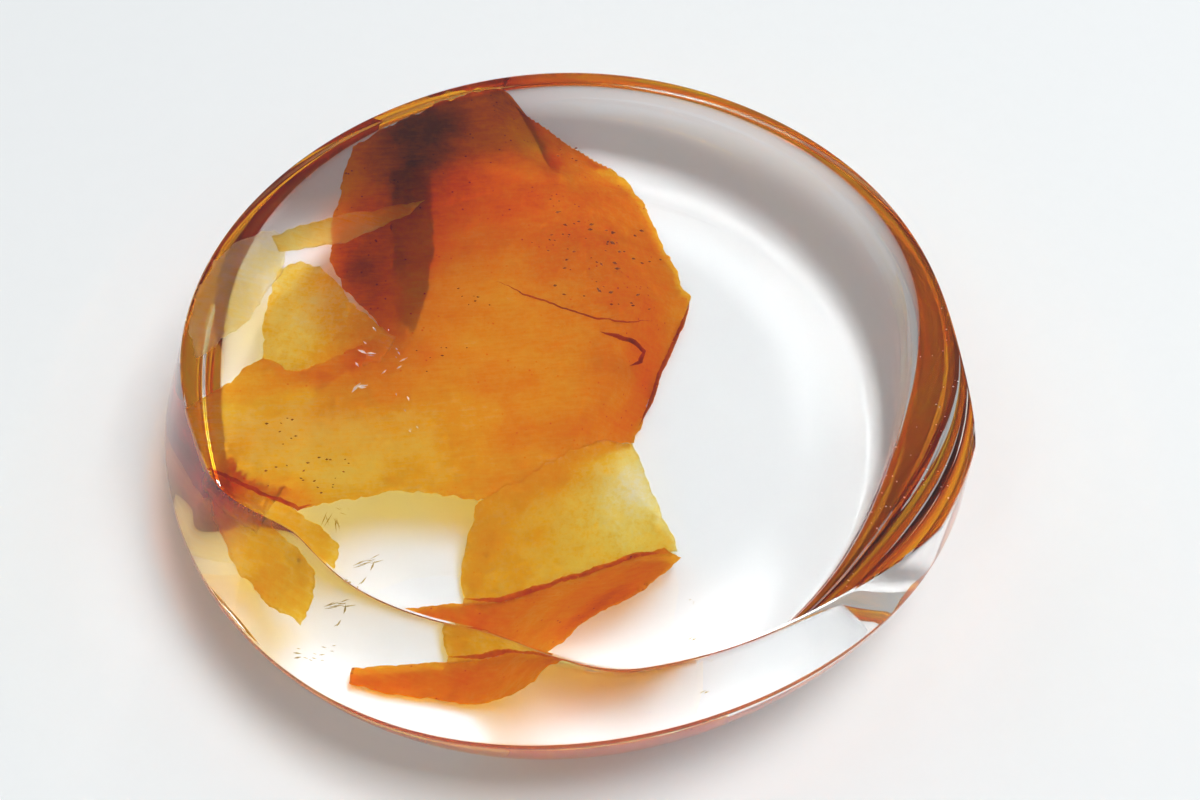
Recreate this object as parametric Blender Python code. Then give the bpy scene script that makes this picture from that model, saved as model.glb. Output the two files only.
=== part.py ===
"""A hand-cut, polished disc of clear quartz with iron-oxide veils inside it.

The stone is one solid. A flat polished face on top meets a bevel that is wide at the front left and fades
out at the right. Below the bevel is the girdle, the widest line of the stone, and below that the underside
rounds in to a flat base, which it stands on. Everything is in metres, +Z up, and the base is at z = 0.
Angles are in degrees around +Z: 0 is the right of the stone and 270 is the side towards the viewer.
"""

import math

import bmesh
import bpy

# The stone as a whole
DIAMETER = 0.045
THICKNESS = 0.0108
GIRDLE_ROUNDING = 0.0006
FACE_EASE = 0.00012

# Height of the girdle, which climbs at the front right, where the stone was ground less deep
GIRDLE_LEAST = 0.0056
GIRDLE_RISE = (0.0024, 300.0, 45.0)

# The flat base, which lies off centre because the underside was rounded by hand
BASE_RADIUS = 0.0176
BASE_OFFSET = 0.0016
BASE_OFFSET_TOWARDS = 235.0

# How full the underside is: 1 gives a quarter of an ellipse, and more draws it in towards a straight slope
UNDERSIDE_POWER = 1.5

# Width of the bevel seen from above: a mean width, and where it was ground wider or narrower
BEVEL_WIDTH = 0.0016
BEVEL_LEAST = 0.0001
BEVEL_SWELLS = (
    # change, angle of its middle, spread
    (0.0002, 105.0, 60.0),
    (0.0006, 204.0, 16.0),
    (0.0003, 223.0, 9.0),
    (0.0004, 268.0, 40.0),
    (-0.0018, 332.0, 18.0),
)
BEVEL_WIDE_CUT = 0.00205
WIDE_CUT_RISES = (204.0, 223.0)
WIDE_CUT_FALLS = (254.0, 279.0)

# How far the outline strays from a circle: share of the radius, lobes, angle of the first lobe
HAND_CUT_WAVES = ((0.002, 3, 90.0), (0.0025, 5, 20.0))

# Mesh detail
SEGMENTS = 120
UNDERSIDE_STEPS = 11
GIRDLE_STEPS = 4
BEVEL_STEPS = 3
SHARP_ANGLE = 22.0

QUARTZ_COLOUR = (0.96, 0.955, 0.94, 1.0)
QUARTZ_ROUGHNESS = 0.02
QUARTZ_IOR = 1.544


def swell(angle, middle, spread):
    """A smooth hump, 1 at its middle angle, that wraps around the stone."""
    away = (angle - middle + 180.0) % 360.0 - 180.0
    return math.exp(-(away / spread) ** 2)


def ramp(angle, start, end):
    """Rises smoothly from 0 at the start angle to 1 at the end angle."""
    share = min(1.0, max(0.0, (angle - start) / (end - start)))
    return share * share * (3.0 - 2.0 * share)


def bevel_width(angle):
    """Width of the bevel at an angle, as seen from above."""
    width = BEVEL_WIDTH
    for change, middle, spread in BEVEL_SWELLS:
        width += change * swell(angle, middle, spread)
    width += BEVEL_WIDE_CUT * ramp(angle, *WIDE_CUT_RISES) * (1.0 - ramp(angle, *WIDE_CUT_FALLS))
    return max(width, BEVEL_LEAST)


def girdle_height(angle):
    """Height of the girdle at an angle."""
    rise, middle, spread = GIRDLE_RISE
    return GIRDLE_LEAST + rise * swell(angle, middle, spread)


def girdle_radius(angle):
    """Radius of the girdle at an angle, with the small waves of a hand-cut outline."""
    waves = sum(depth * math.cos(lobes * math.radians(angle - first)) for depth, lobes, first in HAND_CUT_WAVES)
    return DIAMETER / 2 * (1.0 + waves)


def section(angle):
    """Radius and height along the side of the stone, from the base's edge up to the top face's edge."""
    girdle = girdle_radius(angle)
    height = girdle_height(angle)
    width = bevel_width(angle)
    base = BASE_RADIUS + BASE_OFFSET * math.cos(math.radians(angle - BASE_OFFSET_TOWARDS))
    points = []

    # The underside is level at the base and upright at the girdle
    for step in range(UNDERSIDE_STEPS + 1):
        turn = math.pi / 2 * step / UNDERSIDE_STEPS
        out = max(0.0, math.sin(turn)) ** UNDERSIDE_POWER
        up = 1.0 - max(0.0, math.cos(turn)) ** UNDERSIDE_POWER
        points.append((base + (girdle - base) * out, height * up))

    # The girdle is an arc that ends where the bevel's straight line touches it
    face_edge = (girdle - width, THICKNESS - FACE_EASE)
    arc_middle = (girdle - GIRDLE_ROUNDING, height)
    across, up = face_edge[0] - arc_middle[0], face_edge[1] - arc_middle[1]
    arc_end = math.atan2(up, across) - math.acos(GIRDLE_ROUNDING / math.hypot(across, up))
    for step in range(1, GIRDLE_STEPS + 1):
        turn = arc_end * step / GIRDLE_STEPS
        points.append((
            arc_middle[0] + GIRDLE_ROUNDING * math.cos(turn),
            arc_middle[1] + GIRDLE_ROUNDING * math.sin(turn),
        ))

    # The bevel runs straight to the face's edge, which is eased by a hair
    arc_tip = points[-1]
    for step in range(1, BEVEL_STEPS + 1):
        share = step / BEVEL_STEPS
        points.append(tuple(a + (b - a) * share for a, b in zip(arc_tip, face_edge)))
    points.append((face_edge[0] - FACE_EASE, THICKNESS))
    return points


def stone_mesh():
    """Builds the closed surface of the stone, centred on the origin."""
    shape = bmesh.new()
    columns = []
    for segment in range(SEGMENTS):
        angle = 360.0 * segment / SEGMENTS
        along, across = math.cos(math.radians(angle)), math.sin(math.radians(angle))
        columns.append([shape.verts.new((r * along, r * across, z)) for r, z in section(angle)])

    for segment, column in enumerate(columns):
        following = columns[(segment + 1) % SEGMENTS]
        for level in range(len(column) - 1):
            shape.faces.new((column[level], following[level], following[level + 1], column[level + 1]))
    shape.faces.new([column[0] for column in reversed(columns)])
    shape.faces.new([column[-1] for column in columns])

    for axis in range(2):
        places = [vert.co[axis] for vert in shape.verts]
        middle = (min(places) + max(places)) / 2
        for vert in shape.verts:
            vert.co[axis] -= middle

    mesh = bpy.data.meshes.new("hematoid_quartz")
    shape.to_mesh(mesh)
    shape.free()
    mesh.shade_smooth()
    mesh.set_sharp_from_angle(angle=math.radians(SHARP_ANGLE))
    return mesh


def quartz_material():
    """Clear polished quartz."""
    material = bpy.data.materials.new("clear_quartz")
    material.use_nodes = True
    shader = material.node_tree.nodes["Principled BSDF"]
    shader.inputs["Base Color"].default_value = QUARTZ_COLOUR
    shader.inputs["Roughness"].default_value = QUARTZ_ROUGHNESS
    shader.inputs["Metallic"].default_value = 0.0
    shader.inputs["IOR"].default_value = QUARTZ_IOR
    shader.inputs["Transmission Weight"].default_value = 1.0
    return material


def build():
    """Clears the scene and makes the stone."""
    for old in list(bpy.data.objects):
        bpy.data.objects.remove(old, do_unlink=True)
    mesh = stone_mesh()
    mesh.materials.append(quartz_material())
    stone = bpy.data.objects.new("hematoid_quartz", mesh)
    bpy.context.scene.collection.objects.link(stone)


build()
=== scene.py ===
"""A hand-cut, polished disc of clear quartz with iron-oxide veils inside it, on a pale studio floor.

The stone's fine mesh follows the same cut as the frame's solid and stands in for it. The veils, the crack
flakes and the specks are thin meshes inside the quartz. Their outlines were read from the photo as
pixels of its 1200 by 800 frame, and each pixel is followed along its line of sight, bent at the polished
surface, down to the height at which the veil lies.
"""

from __future__ import annotations

import logging
import math
from dataclasses import dataclass, field
from enum import Enum
from typing import Callable, Sequence

import bmesh
import bpy
import numpy as np
from mathutils import Matrix, Vector, noise
from mathutils.bvhtree import BVHTree
from mathutils.geometry import delaunay_2d_cdt

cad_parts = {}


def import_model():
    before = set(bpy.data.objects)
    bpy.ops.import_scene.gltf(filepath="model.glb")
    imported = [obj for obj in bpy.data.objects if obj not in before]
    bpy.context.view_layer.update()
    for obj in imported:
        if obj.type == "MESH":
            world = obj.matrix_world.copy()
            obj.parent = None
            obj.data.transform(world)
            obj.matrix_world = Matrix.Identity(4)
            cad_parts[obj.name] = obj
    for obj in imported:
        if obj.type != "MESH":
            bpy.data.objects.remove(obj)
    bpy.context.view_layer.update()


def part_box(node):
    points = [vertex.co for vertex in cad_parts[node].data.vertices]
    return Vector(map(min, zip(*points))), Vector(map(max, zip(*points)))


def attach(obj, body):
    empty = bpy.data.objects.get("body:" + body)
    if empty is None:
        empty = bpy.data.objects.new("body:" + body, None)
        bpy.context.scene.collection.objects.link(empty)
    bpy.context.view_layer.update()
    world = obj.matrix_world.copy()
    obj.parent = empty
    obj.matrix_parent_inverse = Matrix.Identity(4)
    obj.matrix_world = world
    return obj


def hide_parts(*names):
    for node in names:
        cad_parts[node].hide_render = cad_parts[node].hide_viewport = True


LOG = logging.getLogger("quartz_disc")
NODE = "hematoid_quartz"
BODY = "root"
QUARTZ_IOR = 1.544
MILLIMETRES = 1000.0

Pixel = tuple[float, float]
Colour = tuple[float, float, float]


class Window(Enum):
    """The polished surface through which a piece inside the stone is seen."""

    FACE = "face"
    SIDE = "side"


class Value:
    """A number or colour on its way through a material's nodes."""

    def __init__(self, tree: "Tree", socket: bpy.types.NodeSocket) -> None:
        """Keeps the socket that the value comes from.

        Args:
            tree: the material's nodes.
            socket: the output socket that carries the value.
        """
        self.tree = tree
        self.socket = socket

    def _maths(self, operation: str, *values: "Value | float") -> "Value":
        """Adds one Math node on these values."""
        inputs = dict(enumerate(values))
        return self.tree.add("ShaderNodeMath", {"operation": operation}, inputs)

    def __add__(self, other: "Value | float") -> "Value":
        """self + other."""
        return self._maths("ADD", self, other)

    def __radd__(self, other: float) -> "Value":
        """other + self."""
        return self._maths("ADD", other, self)

    def __sub__(self, other: "Value | float") -> "Value":
        """self - other."""
        return self._maths("SUBTRACT", self, other)

    def __rsub__(self, other: float) -> "Value":
        """other - self."""
        return self._maths("SUBTRACT", other, self)

    def __mul__(self, other: "Value | float") -> "Value":
        """self * other."""
        return self._maths("MULTIPLY", self, other)

    def __rmul__(self, other: float) -> "Value":
        """other * self."""
        return self._maths("MULTIPLY", other, self)

    def between(self, low: float, high: float) -> "Value":
        """Rises smoothly from 0 at low to 1 at high.

        Args:
            low: the value at which the result leaves 0.
            high: the value at which it reaches 1.

        Returns:
            The eased share.
        """
        settings = {"interpolation_type": "SMOOTHSTEP", "clamp": True}
        inputs = {"Value": self, "From Min": low, "From Max": high}
        return self.tree.add("ShaderNodeMapRange", settings, inputs)


class Tree:
    """The nodes of one material, with its Principled shader."""

    def __init__(self, name: str) -> None:
        """Makes a material with a bare Principled shader.

        Args:
            name: the material's name.
        """
        self.material = bpy.data.materials.new(name)
        self.material.use_nodes = True
        self.nodes = self.material.node_tree.nodes
        self.shader = self.nodes["Principled BSDF"]

    def _feed(self, socket: bpy.types.NodeSocket, value: object) -> None:
        """Links a Value to a socket, or sets a plain number or colour on it."""
        if isinstance(value, Value):
            self.material.node_tree.links.new(value.socket, socket)
        elif socket.type == "RGBA" and len(value) == 3:
            socket.default_value = (*value, 1.0)
        else:
            socket.default_value = value

    def add(
        self, kind: str, settings: dict | None = None, inputs: dict | None = None, out: int | str = 0
    ) -> Value:
        """Adds a node of any kind.

        Args:
            kind: the node's type.
            settings: its properties, or a ramp's stops under "stops", which are set first.
            inputs: values or links of its sockets, by name or number.
            out: the output to go on with.

        Returns:
            The value at that output.
        """
        node = self.nodes.new(kind)
        for name, setting in (settings or {}).items():
            if name == "stops":
                ramp = node.color_ramp
                while len(ramp.elements) < len(setting):
                    ramp.elements.new(0.5)
                for element, (place, colour) in zip(ramp.elements, setting):
                    element.position, element.color = place, (*colour, 1.0)
            else:
                setattr(node, name, setting)
        for name, value in (inputs or {}).items():
            self._feed(node.inputs[name], value)
        return Value(self, node.outputs[out])

    def place(self, stretch: Colour = (1.0, 1.0, 1.0), turn: float = 0.0) -> Value:
        """The point being shaded, in millimetres.

        Args:
            stretch: factors along the three axes, below 1 to draw a pattern out.
            turn: turn about +Z in degrees, before the stretch.

        Returns:
            The point as a vector.
        """
        point = self.add("ShaderNodeTexCoord", out="Object")
        turned = self.add("ShaderNodeMapping", inputs={0: point, "Rotation": (0.0, 0.0, math.radians(turn))})
        scale = tuple(MILLIMETRES * factor for factor in stretch)
        return self.add("ShaderNodeMapping", inputs={0: turned, "Scale": scale})

    def grain(self, where: Value, size: float, detail: float = 3.0, rough: float = 0.55) -> Value:
        """Cloudy noise whose lumps measure about size, in millimetres.

        Args:
            where: the point, in millimetres.
            size: the width of a lump.
            detail: how many finer layers it has.
            rough: how strong those layers are.

        Returns:
            The noise, from 0 to 1.
        """
        inputs = {"Vector": where, "Scale": 1.0 / size, "Detail": detail, "Roughness": rough}
        return self.add("ShaderNodeTexNoise", None, inputs)

    def finish(self, **inputs: object) -> bpy.types.Material:
        """Sets the shader's sockets, whose names are given with _ for each space.

        Args:
            inputs: the values or links.

        Returns:
            The finished material.
        """
        for name, value in inputs.items():
            self._feed(self.shader.inputs[name.replace("_", " ")], value)
        return self.material


@dataclass(frozen=True)
class QuartzFinish:
    """Clear quartz with a hand polish: see-through, with the faintest smoky warmth."""

    colour: Colour = (1.0, 1.0, 1.0)
    absorbed: Colour = (0.93, 0.92, 0.88)
    density: float = 4.0

    def make(self) -> bpy.types.Material:
        """Makes the material."""
        tree = Tree("clear_quartz")
        material = tree.finish(
            Base_Color=self.colour,
            Roughness=0.0,
            IOR=QUARTZ_IOR,
            Transmission_Weight=1.0,
        )
        absorption = {"Color": self.absorbed, "Density": self.density}
        volume = tree.add("ShaderNodeVolumeAbsorption", None, absorption)
        output = tree.nodes["Material Output"]
        material.node_tree.links.new(volume.socket, output.inputs["Volume"])
        return material


IRON_STOPS = (
    # thickness of the film, and the light that comes through it once
    (0.00, (1.00, 0.99, 0.96)),
    (0.12, (0.98, 0.94, 0.72)),
    (0.25, (0.96, 0.81, 0.25)),
    (0.38, (0.93, 0.61, 0.03)),
    (0.50, (0.90, 0.42, 0.008)),
    (0.62, (0.86, 0.26, 0.006)),
    (0.75, (0.66, 0.13, 0.008)),
    (0.88, (0.36, 0.06, 0.012)),
    (1.00, (0.13, 0.025, 0.014)),
)


@dataclass(frozen=True)
class VeilFinish:
    """A film of iron oxide on a healed crack, whose colour deepens with its thickness.

    The mesh carries the broad thickness in its attribute "iron". Fibres, clouds and specks are added to it,
    and the attribute "grainy" makes it more pitted.
    """

    name: str
    fibres: float = 0.10
    fibre_size: float = 0.22
    fibre_stretch: Colour = (0.16, 1.0, 0.08)
    fibre_turn: float = 0.0
    clouds: float = 0.16
    cloud_size: float = 2.2
    pits: float = 0.16
    pit_size: float = 0.32
    grainy_pits: float = 0.5
    specks: float = 0.35
    specks_per_millimetre: float = 2.6
    speck_patch: float = 0.9
    see_through: float = 0.88

    def make(self) -> bpy.types.Material:
        """Makes the material."""
        tree = Tree(self.name)
        iron = tree.add("ShaderNodeAttribute", {"attribute_name": "iron"}, out="Fac")
        grainy = tree.add("ShaderNodeAttribute", {"attribute_name": "grainy"}, out="Fac")
        point = tree.place()
        drawn_out = tree.place(self.fibre_stretch, self.fibre_turn)
        fibres = tree.grain(drawn_out, self.fibre_size, 5.0, 0.62) - 0.5
        clouds = tree.grain(point, self.cloud_size, 4.0, 0.6) - 0.5
        fine = tree.grain(point, self.pit_size, 4.0, 0.7)
        spread = {"Vector": point, "Scale": self.specks_per_millimetre}
        dots = tree.add("ShaderNodeTexVoronoi", {"feature": "F1"}, spread)
        near_dot = 1.0 - dots.between(0.06, 0.24)
        chosen = tree.grain(point, self.speck_patch, 1.0).between(0.54, 0.66)
        specks = near_dot * chosen * (iron.between(0.30, 0.55) * self.specks)
        pits = (fine - 0.5) * (self.pits + grainy * self.grainy_pits)
        thickness = iron + fibres * self.fibres * 2.0 + clouds * self.clouds * 2.0 + specks + pits
        colour = tree.add("ShaderNodeValToRGB", {"stops": IRON_STOPS}, {0: thickness})
        return tree.finish(
            Base_Color=colour,
            Roughness=0.5,
            IOR=1.0,
            Transmission_Weight=self.see_through,
            Specular_IOR_Level=0.0,
        )


@dataclass(frozen=True)
class FleckFinish:
    """A small opaque or see-through fleck, a little uneven in tone; a white one's glint is painted into its
    colour.
    """

    name: str
    light: Colour
    dark: Colour
    roughness: float = 0.45
    see_through: float = 0.0
    patch: float = 0.25

    def make(self) -> bpy.types.Material:
        """Makes the material."""
        tree = Tree(self.name)
        uneven = tree.grain(tree.place(), self.patch, 3.0).between(0.3, 0.7)
        colour = tree.add("ShaderNodeMix", {"data_type": "RGBA"}, {0: uneven, 6: self.dark, 7: self.light}, 2)
        return tree.finish(
            Base_Color=colour,
            Roughness=self.roughness,
            IOR=1.0,
            Transmission_Weight=self.see_through,
        )


@dataclass(frozen=True)
class PaperFinish:
    """Pale matt paper with a faint tooth."""

    colour: Colour = (0.87, 0.89, 0.895)
    tooth: float = 0.05
    tooth_size: float = 0.2
    tooth_depth: float = 0.00005
    cloud_size: float = 1.5
    cloudiness: float = 0.992

    def make(self) -> bpy.types.Material:
        """Makes the material."""
        tree = Tree("studio_paper")
        tone = tree.grain(tree.place(), self.cloud_size, 3.0).between(0.2, 0.8)
        darker = tuple(channel * self.cloudiness for channel in self.colour)
        colour = tree.add("ShaderNodeMix", {"data_type": "RGBA"}, {0: tone, 6: darker, 7: self.colour}, 2)
        height = tree.grain(tree.place(), self.tooth_size, 3.0)
        bump_inputs = {"Strength": self.tooth, "Distance": self.tooth_depth, "Height": height}
        bump = tree.add("ShaderNodeBump", None, bump_inputs)
        return tree.finish(Base_Color=colour, Roughness=0.9, Normal=bump, Specular_IOR_Level=0.1)


@dataclass(frozen=True)
class Swell:
    """A smooth local change of a width or height: how much, where, and how far it spreads, in degrees."""

    change: float
    middle: float
    spread: float

    def at(self, angle: float) -> float:
        """The change at an angle."""
        away = (angle - self.middle + 180.0) % 360.0 - 180.0
        return self.change * math.exp(-((away / self.spread) ** 2))


def ramp(value: float, start: float, end: float) -> float:
    """Rises smoothly from 0 at start to 1 at end.

    Args:
        value: where to read it.
        start: the value at which it leaves 0.
        end: the value at which it reaches 1.

    Returns:
        The eased share.
    """
    share = min(1.0, max(0.0, (value - start) / (end - start)))
    return share * share * (3.0 - 2.0 * share)


@dataclass
class Stone:
    """The quartz itself, in metres: flat face, bevel, girdle, rounded underside and flat base.

    Its box comes from the frame, and the other sizes are those of the solid that it stands in for.
    """

    radius: float
    thickness: float
    girdle_least: float = 0.0056
    girdle_rise: Swell = Swell(0.0024, 300.0, 45.0)
    girdle_rounding: float = 0.0006
    face_ease: float = 0.00012
    base_radius: float = 0.0176
    base_offset: float = 0.0016
    base_offset_towards: float = 235.0
    underside_power: float = 1.5
    bevel_mean: float = 0.0016
    bevel_least: float = 0.0001
    swells: tuple[Swell, ...] = (
        Swell(0.0002, 105.0, 60.0),
        Swell(0.0006, 204.0, 16.0),
        Swell(0.0003, 223.0, 9.0),
        Swell(0.0004, 268.0, 40.0),
        Swell(-0.0018, 332.0, 18.0),
    )
    wide_cut: float = 0.00205
    wide_cut_rises: tuple[float, float] = (204.0, 223.0)
    wide_cut_falls: tuple[float, float] = (254.0, 279.0)
    waves: tuple[tuple[float, int, float], ...] = ((0.002, 3, 90.0), (0.0025, 5, 20.0))
    segments: int = 540
    underside_steps: int = 30
    girdle_steps: int = 14
    bevel_steps: int = 8
    ease_steps: int = 2
    sharp_angle: float = 24.0
    centre: Vector = field(default_factory=lambda: Vector((0.0, 0.0, 0.0)))

    def bevel(self, angle: float) -> float:
        """Width of the bevel at an angle, seen from above."""
        width = self.bevel_mean + sum(swell.at(angle) for swell in self.swells)
        width += self.wide_cut * ramp(angle, *self.wide_cut_rises) * (1.0 - ramp(angle, *self.wide_cut_falls))
        return max(width, self.bevel_least)

    def girdle(self, angle: float) -> float:
        """Radius of the stone's widest line at an angle."""
        waves = 0.0
        for depth, lobes, first in self.waves:
            waves += depth * math.cos(lobes * math.radians(angle - first))
        return self.radius * (1.0 + waves)

    def section(self, angle: float) -> list[tuple[float, float]]:
        """Radius and height up the side of the stone at an angle.

        Args:
            angle: degrees around +Z.

        Returns:
            Points from the base's edge up to the face's edge.
        """
        girdle, width = self.girdle(angle), self.bevel(angle)
        height = self.girdle_least + self.girdle_rise.at(angle)
        base = self.base_radius + self.base_offset * math.cos(math.radians(angle - self.base_offset_towards))
        points = []
        for step in range(self.underside_steps + 1):
            turn = math.pi / 2 * step / self.underside_steps
            out = base + (girdle - base) * max(0.0, math.sin(turn)) ** self.underside_power
            up = 1.0 - max(0.0, math.cos(turn)) ** self.underside_power
            points.append((out, height * up))
        edge = (girdle - width, self.thickness - self.face_ease)
        middle = (girdle - self.girdle_rounding, height)
        across, up = edge[0] - middle[0], edge[1] - middle[1]
        arc_end = math.atan2(up, across) - math.acos(self.girdle_rounding / math.hypot(across, up))
        for step in range(1, self.girdle_steps + 1):
            turn = arc_end * step / self.girdle_steps
            out = middle[0] + self.girdle_rounding * math.cos(turn)
            points.append((out, middle[1] + self.girdle_rounding * math.sin(turn)))
        tip = points[-1]
        for step in range(1, self.bevel_steps + 1):
            share = step / self.bevel_steps
            points.append((tip[0] + (edge[0] - tip[0]) * share, tip[1] + (edge[1] - tip[1]) * share))
        for step in range(1, self.ease_steps + 1):
            turn = math.pi / 2 * step / self.ease_steps
            out = edge[0] - self.face_ease * (1.0 - math.cos(turn))
            points.append((out, edge[1] + self.face_ease * math.sin(turn)))
        return points

    def build(self) -> bpy.types.Object:
        """Builds the fine mesh of the stone.

        Returns:
            The stone's object.
        """
        shape = bmesh.new()
        self.columns = [self.section(360.0 * segment / self.segments) for segment in range(self.segments)]
        rings = []
        for segment, column in enumerate(self.columns):
            angle = 2 * math.pi * segment / self.segments
            rings.append([shape.verts.new((r * math.cos(angle), r * math.sin(angle), z)) for r, z in column])
        for segment, column in enumerate(rings):
            following = rings[(segment + 1) % self.segments]
            for level in range(len(column) - 1):
                shape.faces.new((column[level], following[level], following[level + 1], column[level + 1]))
        shape.faces.new([column[0] for column in reversed(rings)])
        shape.faces.new([column[-1] for column in rings])
        for axis in range(2):
            places = [vert.co[axis] for vert in shape.verts]
            self.centre[axis] = (min(places) + max(places)) / 2
        for vert in shape.verts:
            vert.co -= self.centre
        shape.normal_update()
        self.surface = BVHTree.FromBMesh(shape)
        self.radii = np.array([[r for r, _ in column] for column in self.columns])
        self.heights = np.array([[z for _, z in column] for column in self.columns])
        stone = Mesh("quartz").make(shape)
        stone.data.set_sharp_from_angle(angle=math.radians(self.sharp_angle))
        for polygon in stone.data.polygons:
            polygon.use_smooth = len(polygon.vertices) < self.segments
        return stone

    def keep_inside(self, point: Vector, margin: float) -> Vector:
        """Moves a point inwards, level, until it lies this far inside the stone.

        Args:
            point: a point of the stone's frame.
            margin: the least distance to the surface, in metres.

        Returns:
            The point, or its nearest place inside.
        """
        height = min(max(point.z, margin), self.thickness - margin)
        flat = Vector((point.x + self.centre.x, point.y + self.centre.y))
        column = round(math.degrees(math.atan2(flat.y, flat.x)) / 360.0 * self.segments) % self.segments
        reach = float(np.interp(height, self.heights[column], self.radii[column])) - margin
        if flat.length > reach:
            flat *= reach / flat.length
        return Vector((flat.x - self.centre.x, flat.y - self.centre.y, height))


@dataclass(frozen=True)
class Mesh:
    """Turns a bmesh into a named object in the scene."""

    name: str

    def make(self, shape: bmesh.types.BMesh) -> bpy.types.Object:
        """Makes the object and frees the bmesh."""
        mesh = bpy.data.meshes.new(self.name)
        shape.to_mesh(mesh)
        shape.free()
        made = bpy.data.objects.new(self.name, mesh)
        bpy.context.scene.collection.objects.link(made)
        return made


@dataclass
class Viewpoint:
    """The camera, placed so that the stone fills the frame as it does in the photo."""

    target: Vector
    stone_width: float
    elevation: float = 53.0
    field_of_view: float = 38.0
    roll: float = 1.49
    frame: Pixel = (1200.0, 800.0)
    stone_middle: Pixel = (568.0, 395.3)
    stone_pixels: float = 795.3
    nearest: float = 0.005
    farthest: float = 20.0

    def __post_init__(self) -> None:
        """Works out where the camera stands and how it is turned."""
        self.half = math.tan(math.radians(self.field_of_view) / 2)
        distance = self.stone_width * self.frame[0] / self.stone_pixels / (2 * self.half)
        rise = math.radians(self.elevation)
        self.location = self.target + distance * Vector((0.0, -math.cos(rise), math.sin(rise)))
        facing = (self.target - self.location).to_track_quat("-Z", "Y").to_matrix()
        aside = self._in_camera(self.stone_middle).rotation_difference(Vector((0.0, 0.0, -1.0))).to_matrix()
        self.rotation = facing @ Matrix.Rotation(math.radians(-self.roll), 3, "Z") @ aside

    def _in_camera(self, pixel: Pixel) -> Vector:
        """Direction of a pixel in the camera's own axes."""
        half_width = self.frame[0] / 2
        across = (pixel[0] - half_width) / half_width * self.half
        up = (self.frame[1] / 2 - pixel[1]) / half_width * self.half
        return Vector((across, up, -1.0)).normalized()

    def ray(self, pixel: Pixel) -> Vector:
        """Direction of the line of sight through a pixel of the photo."""
        return (self.rotation @ self._in_camera(pixel)).normalized()

    def make(self) -> None:
        """Makes the camera and sets it as the scene's."""
        lens = bpy.data.cameras.new("camera")
        lens.angle = math.radians(self.field_of_view)
        lens.clip_start = self.nearest
        lens.clip_end = self.farthest
        camera = bpy.data.objects.new("camera", lens)
        bpy.context.scene.collection.objects.link(camera)
        camera.location = self.location
        camera.rotation_euler = self.rotation.to_euler()
        bpy.context.scene.camera = camera


@dataclass
class Sight:
    """Follows lines of sight from the camera into the stone, bent as quartz bends them."""

    view: Viewpoint
    stone: Stone

    def _bend(self, ray: Vector, normal: Vector) -> Vector:
        """The direction of a ray after it enters the quartz."""
        ratio = 1.0 / QUARTZ_IOR
        facing = -ray.dot(normal)
        return ratio * ray + (ratio * facing - math.sqrt(1.0 - ratio**2 * (1.0 - facing**2))) * normal

    def at(self, pixel: Pixel, share: float, window: Window) -> Vector:
        """The place inside the stone that shows at a pixel.

        Args:
            pixel: the pixel of the photo.
            share: height of the place, as a share of the stone's thickness.
            window: the surface that the photo shows it through.

        Returns:
            The point in the stone's frame.
        """
        ray = self.view.ray(pixel)
        if window is Window.FACE:
            entry = self.view.location + ray * ((self.stone.thickness - self.view.location.z) / ray.z)
            inward = self._bend(ray, Vector((0.0, 0.0, 1.0)))
        else:
            entry, normal, _, _ = self.stone.surface.ray_cast(self.view.location, ray)
            if entry is None:
                return self.at(pixel, share, Window.FACE)
            inward = self._bend(ray, normal)
        return entry + inward * ((share * self.stone.thickness - entry.z) / inward.z)


@dataclass(frozen=True)
class Stain:
    """A soft patch where a film is thicker or thinner: middle and reach in photo pixels, and how much."""

    middle: Pixel
    reach: Pixel
    amount: float
    turn: float = 0.0

    def at(self, x: np.ndarray, y: np.ndarray) -> np.ndarray:
        """The change at these pixels.

        Args:
            x: pixels across.
            y: pixels down.

        Returns:
            The change at each.
        """
        cos, sin = math.cos(math.radians(self.turn)), math.sin(math.radians(self.turn))
        dx, dy = x - self.middle[0], y - self.middle[1]
        along, across = (dx * cos + dy * sin) / self.reach[0], (dy * cos - dx * sin) / self.reach[1]
        return self.amount * np.exp(-(along**2) - across**2)


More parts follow.
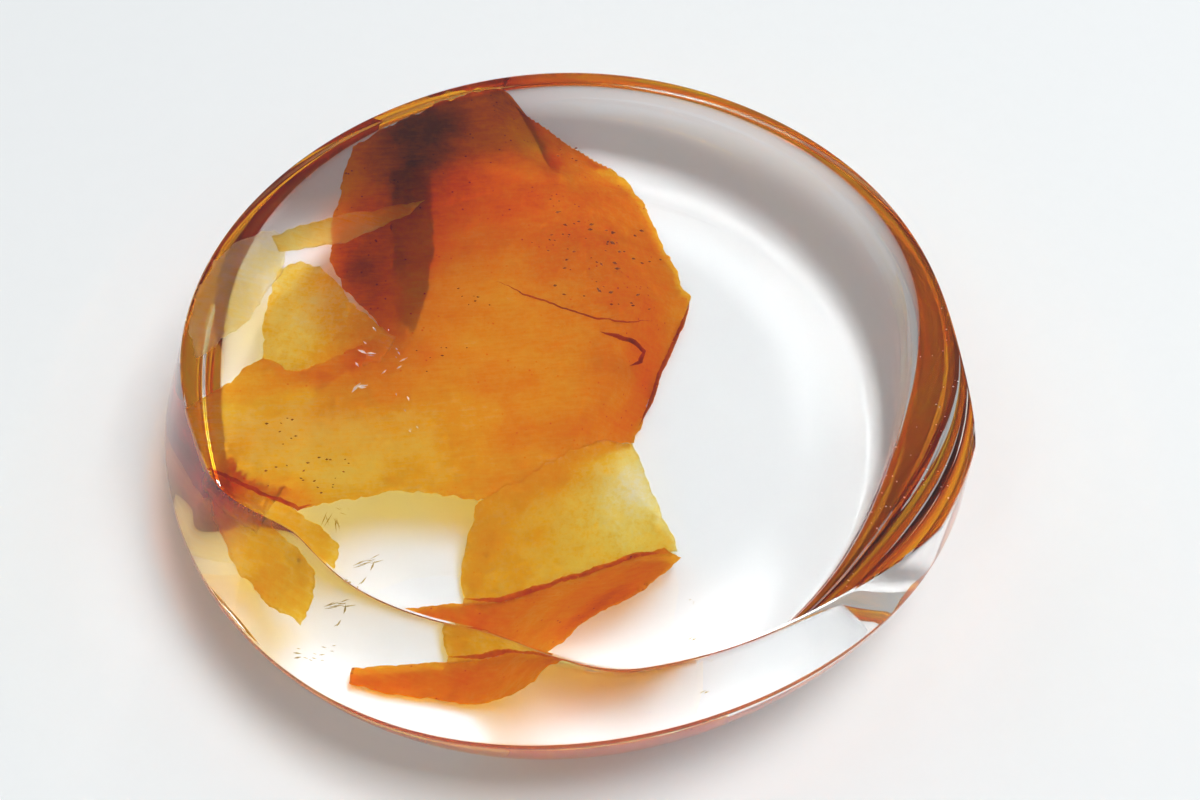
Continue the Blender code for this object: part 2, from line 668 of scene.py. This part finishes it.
@dataclass
class Film:
    """One veil: a thin closed sheet with a torn edge and a crinkled surface."""

    name: str
    outline: Sequence[Pixel]
    height: Callable[[float, float], float]
    iron: float
    stains: Sequence[Stain] = ()
    grains: Sequence[Stain] = ()
    window: Window = Window.FACE
    step: float = 3.0
    fray: float = 2.2
    crinkle: float = 0.00016
    crinkle_size: float = 0.0011
    thickness: float = 0.00003
    margin: float = 0.00006
    torn_by: tuple[tuple[float, float], ...] = ((26.0, 1.0), (9.0, 0.55), (4.0, 0.35))
    clearance: float = 0.6
    seed: float = 0.0

    def _edge(self) -> np.ndarray:
        """The outline with points a step apart, torn a little by noise."""
        corners = np.array(self.outline, float)
        ends = np.roll(corners, -1, axis=0)
        points = []
        for start, end in zip(corners, ends):
            count = max(1, round(float(np.hypot(*(end - start))) / self.step))
            points.extend(start + (end - start) * (np.arange(count) / count)[:, None])
        torn = []
        for x, y in points:
            push = Vector((0.0, 0.0))
            for size, share in self.torn_by:
                at = Vector((x / size, y / size, self.seed))
                push += share * Vector((noise.noise(at), noise.noise(at + Vector((7.3, 1.9, 4.1))))) * 2.0
            torn.append((x + push.x * self.fray, y + push.y * self.fray))
        return np.array(torn)

    def _inner(self, edge: np.ndarray) -> np.ndarray:
        """Points of a staggered grid that lie inside the edge, clear of it."""
        low, high = edge.min(0), edge.max(0)
        rows = np.arange(low[1], high[1], self.step * 0.87)
        grid = []
        for number, y in enumerate(rows):
            xs = np.arange(low[0] + (number % 2) * self.step / 2, high[0], self.step)
            grid.append(np.column_stack([xs, np.full_like(xs, y)]))
        points = np.vstack(grid)
        inside = np.zeros(len(points), bool)
        near = np.full(len(points), np.inf)
        for (x0, y0), (x1, y1) in zip(edge, np.roll(edge, -1, axis=0)):
            crosses = (y0 > points[:, 1]) != (y1 > points[:, 1])
            if y1 != y0:
                inside ^= crosses & (points[:, 0] < (x1 - x0) * (points[:, 1] - y0) / (y1 - y0) + x0)
            near = np.minimum(near, (points[:, 0] - x0) ** 2 + (points[:, 1] - y0) ** 2)
        return points[inside & (near > (self.clearance * self.step) ** 2)]

    def build(self, sight: Sight) -> bpy.types.Object:
        """Builds the sheet inside the stone.

        Args:
            sight: the lines of sight that place it.

        Returns:
            The sheet's object.
        """
        edge = self._edge()
        flat = [Vector(point) for point in np.vstack([edge, self._inner(edge)])]
        borders = [(i, (i + 1) % len(edge)) for i in range(len(edge))]
        flat, _, triangles, _, _, _ = delaunay_2d_cdt(flat, borders, [], 1, 1e-4)
        places = []
        for x, y in flat:
            point = sight.at((x, y), self.height(x, y), self.window)
            at = point / self.crinkle_size + Vector((0.0, 0.0, self.seed))
            rough = noise.noise(at) + 0.5 * noise.noise(at * 2.3) + 0.25 * noise.noise(at * 5.1)
            point.z += self.crinkle * rough
            places.append(sight.stone.keep_inside(point, self.margin + self.thickness))
        shape = bmesh.new()
        front = [shape.verts.new(place) for place in places]
        for corners in triangles:
            shape.faces.new([front[corner] for corner in corners])
        shape.normal_update()
        behind = [vert.co - vert.normal * self.thickness for vert in front]
        back = [shape.verts.new(sight.stone.keep_inside(place, self.margin)) for place in behind]
        for corners in triangles:
            shape.faces.new([back[corner] for corner in reversed(corners)])
        places_of = {vert: number for number, vert in enumerate(front)}
        for side in [line for line in shape.edges if line.is_boundary and line.verts[0] in places_of]:
            start, end = (loop.vert for loop in (side.link_loops[0], side.link_loops[0].link_loop_next))
            shape.faces.new((end, start, back[places_of[start]], back[places_of[end]]))
        film = Mesh(self.name).make(shape)
        film.data.shade_smooth()
        self._stain(film, np.array([tuple(point) for point in flat]), len(film.data.vertices))
        return film

    def _stain(self, film: bpy.types.Object, flat: np.ndarray, count: int) -> None:
        """Writes the film's thickness and graininess on its points, front and back alike.

        Args:
            film: the sheet's object.
            flat: the pixel of each point on the front.
            count: the number of points on both sides.
        """
        repeats = -(-count // len(flat))
        for name, base, patches in (("iron", self.iron, self.stains), ("grainy", 0.0, self.grains)):
            values = np.full(len(flat), base)
            for patch in patches:
                values += patch.at(flat[:, 0], flat[:, 1])
            values = np.clip(np.tile(values, repeats)[:count], 0.0, 1.0)
            layer = film.data.attributes.new(name, "FLOAT", "POINT")
            layer.data.foreach_set("value", values.astype(np.float32))


# How far the thin dark lines lie above their veil, as a share of the stone's thickness
LINE_RISE = 0.012

# Lines of the photo along which the veils bend, in pixels
RIGHT_EDGE = ((545, 95), (580, 137), (630, 184), (660, 240), (690, 298), (655, 390), (632, 443))
FOLD_LINE = ((376, 612), (445, 613), (500, 603), (535, 590), (590, 573), (640, 555), (683, 556))
LIP_LINE = ((400, 680), (460, 700), (520, 672), (560, 642), (600, 611), (660, 578), (684, 562))


def distance_to_line(point: Pixel, line: Sequence[Pixel]) -> float:
    """Distance from a pixel to a line of several stretches.

    Args:
        point: the pixel.
        line: the line's corners.

    Returns:
        The distance in pixels.
    """
    here = Vector(point)
    nearest = math.inf
    for start, end in zip(line, line[1:]):
        start, run = Vector(start), Vector(end) - Vector(start)
        share = min(1.0, max(0.0, (here - start).dot(run) / run.length_squared))
        nearest = min(nearest, (here - start - run * share).length)
    return nearest


def stroke(line: Sequence[Pixel], width: float) -> list[Pixel]:
    """The outline of a line of some width that tapers to points at its ends.

    Args:
        line: the line's corners.
        width: its width in pixels.

    Returns:
        The outline's corners.
    """
    left, right = [], []
    for number, corner in enumerate(line[1:-1], 1):
        run = (Vector(line[number + 1]) - Vector(line[number - 1])).normalized() * width / 2
        left.append((corner[0] - run.y, corner[1] + run.x))
        right.append((corner[0] + run.y, corner[1] - run.x))
    return [line[0], *left, line[-1], *reversed(right)]


@dataclass
class Flecks:
    """Many small flat flecks in one mesh: crack flakes, specks of iron oxide or dust.

    Each spot is a pixel of the photo, the size of the flecks around it in pixels and their turn in degrees.
    """

    name: str
    spots: Sequence[tuple[float, float, float, float]]
    height: Callable[[float, float], float]
    spread: float = 6.0
    each: int = 3
    lean: float = 0.0
    slimness: float = 0.35
    half_pixel: float = 0.00006
    turn_spread: float = 14.0
    thickness: float = 0.00002
    margin: float = 0.00001
    window: Window = Window.FACE
    seed: int = 1

    def build(self, sight: Sight) -> bpy.types.Object:
        """Builds the flecks.

        Args:
            sight: the lines of sight that place them.

        Returns:
            The flecks' object.
        """
        chance = np.random.default_rng(self.seed)
        shape = bmesh.new()
        for x, y, size, turn in self.spots:
            for _ in range(self.each):
                at = (x + chance.normal(0, self.spread), y + chance.normal(0, self.spread))
                middle = sight.at(at, self.height(*at), self.window)
                way = math.radians(-turn + chance.normal(0, self.turn_spread))
                reach = size * self.half_pixel * chance.uniform(0.35, 1.0)
                along = Vector((math.cos(way), math.sin(way), self.lean * chance.normal(0, 1))) * reach
                across = Vector((-math.sin(way), math.cos(way), self.lean * chance.normal(0, 1))) * reach
                across *= self.slimness
                left, right = across * chance.uniform(0.4, 1.0), -across * chance.uniform(0.4, 1.0)
                ring = [middle + offset for offset in (along, left, -along * 0.8, right)]
                deep = Vector((0.0, 0.0, self.thickness))
                inside = sight.stone.keep_inside
                top = [shape.verts.new(inside(place, self.margin + self.thickness)) for place in ring]
                low = [shape.verts.new(inside(place - deep, self.margin)) for place in ring]
                shape.faces.new(top)
                shape.faces.new(reversed(low))
                for one in range(4):
                    two = (one + 1) % 4
                    shape.faces.new((top[two], top[one], low[one], low[two]))
        return Mesh(self.name).make(shape)


@dataclass
class Veils:
    """All the iron-oxide films inside the stone, laid out on the photo.

    Heights are shares of the stone's thickness, and reaches are pixels of the photo.
    """

    sight: Sight
    low_edge: float = 0.04
    main_stations: tuple[float, ...] = (190.0, 300.0, 400.0, 500.0, 600.0)
    main_heights: tuple[float, ...] = (0.97, 0.80, 0.68, 0.59, 0.52)
    main_drop: tuple[float, float] = (-8.0, 60.0)
    fold: float = 0.06
    lower_rise: float = 0.40
    lower_reach: tuple[float, float] = (20.0, 130.0)
    lip_rise: float = 0.70
    lip_stations: tuple[float, float] = (470.0, 560.0)
    root_top: float = 0.70
    root_stations: tuple[float, float] = (386.0, 438.0)

    def main_height(self, x: float, y: float) -> float:
        """The main veil touches the face at the left, sinks to the right and drops steeply at its edge."""
        slope = float(np.interp(x, self.main_stations, self.main_heights))
        drop = ramp(distance_to_line((x, y), RIGHT_EDGE), *self.main_drop)
        return self.low_edge + (slope - self.low_edge) * drop

    def lower_height(self, x: float, y: float) -> float:
        """The lower veil comes down from the main one to its fold, which lies close to the base."""
        return self.fold + self.lower_rise * ramp(distance_to_line((x, y), FOLD_LINE), *self.lower_reach)

    def lip_height(self, x: float, y: float) -> float:
        """From the fold a lip rises towards the viewer, up to the bevel."""
        below, above = distance_to_line((x, y), FOLD_LINE), distance_to_line((x, y), LIP_LINE)
        return self.fold + self.lip_rise * below / (below + above) * ramp(x, *self.lip_stations)

    def root_height(self, x: float, y: float) -> float:
        """A dark sheet goes straight down from the main veil to the base."""
        return self.root_top - (self.root_top - self.low_edge) * ramp(x, *self.root_stations)

    def films(self) -> list[Film]:
        """The veils, each with the outline that the photo shows."""
        main = Film(
            name="main_veil",
            outline=(
                (352, 148), (375, 132), (400, 120), (435, 104), (470, 91), (505, 84), (535, 82),
                (545, 95), (560, 115), (580, 137), (600, 160), (630, 184), (645, 205), (660, 240),
                (675, 270), (690, 298), (683, 325), (675, 340), (660, 372), (655, 390), (640, 425),
                (632, 443), (600, 443), (560, 455), (520, 480), (480, 500), (440, 495), (400, 490),
                (340, 502), (300, 507), (272, 497), (245, 487), (205, 468), (190, 432), (184, 408),
                (200, 398), (222, 388), (240, 370), (262, 360), (300, 372), (345, 352), (390, 338),
                (365, 310), (345, 290), (330, 262), (332, 235), (336, 205), (343, 172),
            ),
            height=self.main_height,
            iron=0.46,
            stains=(
                Stain((405, 160), (50, 110), 0.30, 8.0),
                Stain((360, 270), (36, 60), 0.30, -20.0),
                Stain((470, 110), (120, 34), 0.26, -14.0),
                Stain((530, 95), (30, 20), 0.22),
                Stain((490, 185), (110, 50), 0.15),
                Stain((610, 260), (60, 60), 0.08),
                Stain((645, 350), (26, 60), 0.14),
                Stain((290, 440), (150, 60), -0.14),
                Stain((440, 450), (130, 40), -0.08),
                Stain((440, 150), (60, 50), 0.08),
                Stain((560, 430), (90, 16), 0.12, -12.0),
                Stain((250, 485), (60, 16), 0.10, 16.0),
                Stain((300, 380), (90, 14), 0.10, -10.0),
                Stain((540, 300), (80, 30), -0.04),
            ),
            grains=(Stain((590, 240), (80, 90), 0.45), Stain((330, 440), (120, 60), 0.15)),
            seed=1.0,
        )
        lower = Film(
            name="lower_veil",
            outline=(
                (600, 440), (632, 443), (641, 462), (655, 495), (668, 528), (679, 552), (640, 557),
                (590, 574), (535, 591), (500, 604), (465, 606), (461, 585), (462, 560), (470, 530),
                (476, 505), (500, 488), (520, 478), (560, 453),
            ),
            height=self.lower_height,
            iron=0.33,
            stains=(
                Stain((620, 500), (50, 50), -0.13),
                Stain((490, 550), (30, 60), 0.10),
                Stain((560, 470), (60, 20), 0.12, -20.0),
            ),
            grains=(Stain((620, 510), (60, 60), 0.7),),
            fray=1.5,
            seed=2.0,
        )
        lip = Film(
            name="folded_lip",
            outline=(
                (376, 612), (420, 607), (465, 603), (500, 602), (535, 589), (590, 572), (640, 555),
                (664, 548), (681, 558), (660, 576), (640, 590), (618, 604), (600, 612), (580, 626),
                (560, 642), (540, 658), (530, 660), (490, 652), (450, 645), (400, 637), (372, 628),
            ),
            height=self.lip_height,
            iron=0.50,
            stains=(
                Stain((600, 605), (60, 12), 0.16, -32.0),
                Stain((450, 700), (110, 30), -0.18, -10.0),
                Stain((420, 620), (80, 20), 0.06),
            ),
            fray=1.2,
            seed=7.0,
        )
        root = Film(
            name="dark_root",
            outline=(
                (392, 172), (410, 160), (428, 176), (434, 230), (428, 290), (414, 330), (398, 322),
                (391, 240),
            ),
            height=self.root_height,
            iron=0.86,
            seed=9.0,
        )
        corner = Film(
            name="corner_veil",
            outline=(
                (206, 470), (232, 486), (252, 500), (266, 518), (290, 540), (316, 566), (312, 600),
                (300, 627), (270, 605), (241, 574), (226, 545), (212, 510),
            ),
            height=lambda x, y: 0.80 - 0.40 * ramp(y, 470.0, 640.0),
            iron=0.34,
            stains=(Stain((280, 590), (40, 30), 0.08), Stain((215, 500), (24, 40), 0.30)),
            window=Window.SIDE,
            seed=3.0,
        )
        lump = Film(
            name="yellow_lump",
            outline=(
                (278, 272), (300, 262), (322, 266), (338, 284), (352, 302), (372, 320), (396, 338),
                (380, 362), (345, 372), (318, 390), (290, 378), (262, 366), (264, 330), (268, 300),
            ),
            height=lambda x, y: 0.62 + 0.12 * ramp(x, 260.0, 400.0),
            iron=0.34,
            stains=(Stain((300, 320), (30, 30), -0.08), Stain((350, 350), (40, 30), 0.10)),
            grains=(Stain((310, 320), (60, 60), 0.5),),
            seed=4.0,
        )
        beige = Film(
            name="pale_film",
            outline=(
                (214, 262), (240, 240), (275, 228), (290, 242), (280, 275), (262, 305), (230, 335),
                (198, 357), (188, 330), (196, 292),
            ),
            height=lambda x, y: 0.86,
            iron=0.17,
            stains=(Stain((230, 300), (40, 40), 0.04),),
            seed=5.0,
        )
        strip = Film(
            name="tan_strip",
            outline=(
                (272, 236), (300, 226), (340, 216), (385, 208), (425, 200), (405, 216), (370, 232),
                (335, 244), (300, 250), (280, 252),
            ),
            height=lambda x, y: 0.95,
            iron=0.30,
            stains=(Stain((400, 208), (40, 15), 0.22),),
            fray=1.2,
            seed=6.0,
        )
        return [main, lower, lip, root, corner, lump, beige, strip, *self.lines()]

    def lines(self) -> list[Film]:
        """Thin dark lines along the veils' folds and cracks."""
        drawn = (
            # name, width in pixels, iron, corners
            (
                "fold_line", 4.0, 0.74,
                ((204, 466), (225, 476), (248, 488), (272, 498), (300, 508), (312, 504)),
            ),
            (
                "hair_crack", 1.5, 0.84,
                ((496, 280), (530, 296), (566, 308), (600, 320), (628, 322), (652, 321)),
            ),
            (
                "dark_notch", 4.0, 0.86,
                ((600, 332), (618, 336), (634, 342), (644, 352), (640, 362), (630, 366)),
            ),
            (
                "edge_line", 4.0, 0.8,
                ((690, 302), (682, 326), (672, 346), (660, 374), (650, 402), (640, 426)),
            ),
            (
                "lip_line", 5.0, 0.66,
                ((462, 600), (500, 600), (536, 588), (590, 571), (640, 554), (660, 552)),
            ),
        )
        films = []
        for number, (name, width, iron, line) in enumerate(drawn):
            height = self.lip_height if name == "lip_line" else self.main_height
            films.append(
                Film(
                    name=name,
                    outline=stroke(line, width),
                    height=lambda x, y, height=height: height(x, y) + LINE_RISE,
                    iron=iron,
                    step=2.0,
                    fray=0.9,
                    seed=20.0 + number,
                )
            )
        return films

    def flecks(self) -> list[tuple[Flecks, FleckFinish]]:
        """Small flecks in the veils, in the clear quartz and on the face, each kind with its finish."""
        # The crack flakes' white is partly the crack faces' own colour and partly a painted glint: the light
        # that crack faces reflect is painted in as plain white.
        white_with_painted_glint = FleckFinish("crack_flake_painted_glint", (0.97, 0.97, 0.95), (0.85, 0.86, 0.84))
        brown = FleckFinish("iron_speck", (0.42, 0.16, 0.04), (0.16, 0.05, 0.02))
        olive = FleckFinish("feather_mark", (0.55, 0.42, 0.12), (0.35, 0.24, 0.06), see_through=0.5)
        dust = FleckFinish("dust", (0.9, 0.9, 0.88), (0.6, 0.6, 0.58))
        return [
            (
                # Crack flakes, white partly as a painted glint of the light they reflect.
                Flecks(
                    "crack_flakes",
                    (
                        (362, 344, 5, 60), (372, 350, 6, 30), (384, 342, 4, 70), (366, 378, 8, -35),
                        (394, 372, 5, -30), (404, 400, 4, 60), (398, 352, 4, 40), (412, 430, 3, 60),
                    ),
                    lambda x, y: self.main_height(x, y) + 0.03,
                    lean=0.5,
                    seed=3,
                ),
                white_with_painted_glint,
            ),
            (
                Flecks(
                    "dark_specks",
                    (
                        (560, 215, 3, 0), (590, 235, 3, 0), (612, 250, 4, 30), (575, 262, 3, 0),
                        (600, 275, 3, 40), (635, 262, 4, 0), (552, 240, 2, 0), (566, 152, 3, 0),
                        (625, 300, 3, 0), (288, 462, 2, 0), (280, 430, 2, 0), (312, 478, 2, 0),
                        (330, 470, 2, 0), (470, 300, 2, 0), (430, 360, 2, 0),
                    ),
                    lambda x, y: self.main_height(x, y) + 0.015,
                    spread=12.0,
                    each=7,
                    slimness=0.7,
                    seed=5,
                ),
                brown,
            ),
            (
                Flecks(
                    "feather_marks",
                    (
                        (328, 520, 9, 80), (336, 524, 10, 84), (344, 510, 4, 30), (358, 566, 9, -25),
                        (372, 562, 7, -20),
                    ),
                    lambda x, y: 0.3,
                    spread=3.0,
                    each=4,
                    slimness=0.09,
                    seed=7,
                ),
                olive,
            ),
            (
                Flecks(
                    "window_specks",
                    (
                        (300, 652, 5, -20), (322, 656, 4, 0), (310, 662, 5, 10), (330, 650, 3, 0),
                        (341, 616, 7, -50), (690, 604, 2, 0), (708, 690, 3, -40),
                    ),
                    lambda x, y: 0.3,
                    spread=4.0,
                    each=3,
                    slimness=0.2,
                    window=Window.SIDE,
                    seed=9,
                ),
                olive,
            ),
            (
                Flecks(
                    "dust_specks",
                    (
                        (930, 420, 1.2, 0), (900, 470, 1.2, 0), (870, 520, 1.2, 0), (940, 350, 1.2, 0),
                        (830, 570, 1.2, 0), (950, 480, 1.2, 0),
                    ),
                    lambda x, y: 1.0,
                    spread=18.0,
                    each=9,
                    slimness=0.9,
                    seed=11,
                ),
                dust,
            ),
        ]

    def build(self) -> list[bpy.types.Object]:
        """Builds and dresses every veil.

        Returns:
            The veils' objects.
        """
        finishes = {
            "main_veil": VeilFinish("iron_veil", fibre_turn=-8.0),
            "lower_veil": VeilFinish("grainy_iron_veil", fibres=0.0),
        }
        plain = VeilFinish("thin_iron_veil", fibre_turn=20.0)
        made = []
        for film in self.films():
            piece = film.build(self.sight)
            piece.data.materials.append(finishes.get(film.name, plain).make())
            made.append(piece)
        for flecks, finish in self.flecks():
            piece = flecks.build(self.sight)
            piece.data.materials.append(finish.make())
            made.append(piece)
        return made


@dataclass
class Studio:
    """Pale paper, a bright even room and one soft lamp above the stone, a little to the right."""

    floor_half: float = 1.5
    floor_gap: float = 0.00004
    room: Colour = (0.94, 0.975, 1.0)
    room_strength: float = 0.40
    key_place: Vector = field(default_factory=lambda: Vector((0.17, -0.03, 0.50)))
    key_size: float = 0.24
    key_power: float = 1.95
    bounces_in_quartz: int = 40
    glossy_bounces: int = 24
    diffuse_bounces: int = 4
    transparent_bounces: int = 16
    brightest_bounce: float = 16.0

    def floor(self) -> bpy.types.Object:
        """The paper that the stone stands on."""
        shape = bmesh.new()
        half = self.floor_half
        corners = ((-half, -half), (half, -half), (half, half), (-half, half))
        shape.faces.new([shape.verts.new((x, y, -self.floor_gap)) for x, y in corners])
        paper = Mesh("paper").make(shape)
        paper.data.materials.append(PaperFinish().make())
        return paper

    def lights(self) -> None:
        """The room's light and the key light."""
        world = bpy.data.worlds.new("room")
        world.use_nodes = True
        background = world.node_tree.nodes["Background"]
        background.inputs["Color"].default_value = (*self.room, 1.0)
        background.inputs["Strength"].default_value = self.room_strength
        bpy.context.scene.world = world
        self._lamp("key", self.key_place, self.key_size, self.key_power)

    def _lamp(self, name: str, place: Vector, size: float, power: float) -> None:
        """Hangs one square soft light that faces the stone.

        Args:
            name: the lamp's name.
            place: where it hangs, in metres.
            size: its width.
            power: its power in watts.
        """
        light = bpy.data.lights.new(name, "AREA")
        light.size = size
        light.energy = power
        lamp = bpy.data.objects.new(name, light)
        bpy.context.scene.collection.objects.link(lamp)
        lamp.location = place
        lamp.rotation_euler = (-place).to_track_quat("-Z", "Y").to_euler()

    def picture(self) -> None:
        """How far light is followed through the quartz, and plain colours."""
        scene = bpy.context.scene
        scene.view_settings.view_transform = "Standard"
        cycles = scene.cycles
        cycles.blur_glossy = 0.0
        cycles.max_bounces = self.bounces_in_quartz
        cycles.transmission_bounces = self.bounces_in_quartz
        cycles.glossy_bounces = self.glossy_bounces
        cycles.diffuse_bounces = self.diffuse_bounces
        cycles.transparent_max_bounces = self.transparent_bounces
        cycles.sample_clamp_indirect = self.brightest_bounce


def main() -> None:
    """Builds the stone, its veils and the studio, in that order."""
    logging.basicConfig(level=logging.INFO, format="%(message)s")
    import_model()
    low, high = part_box(NODE)
    stone = Stone(radius=(high.x - low.x) / 2, thickness=high.z - low.z)
    quartz = stone.build()
    quartz.data.materials.append(QuartzFinish().make())
    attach(quartz, BODY)
    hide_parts(NODE)
    LOG.info("quartz: %d faces", len(quartz.data.polygons))

    view = Viewpoint(target=Vector((0.0, 0.0, stone.thickness / 2)), stone_width=2 * stone.radius)
    sight = Sight(view, stone)
    for piece in Veils(sight).build():
        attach(piece, BODY)
        LOG.info("%s: %d faces", piece.name, len(piece.data.polygons))

    studio = Studio()
    studio.floor()
    studio.lights()
    studio.picture()
    view.make()
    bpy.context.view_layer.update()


if __name__ == "__main__":
    main()
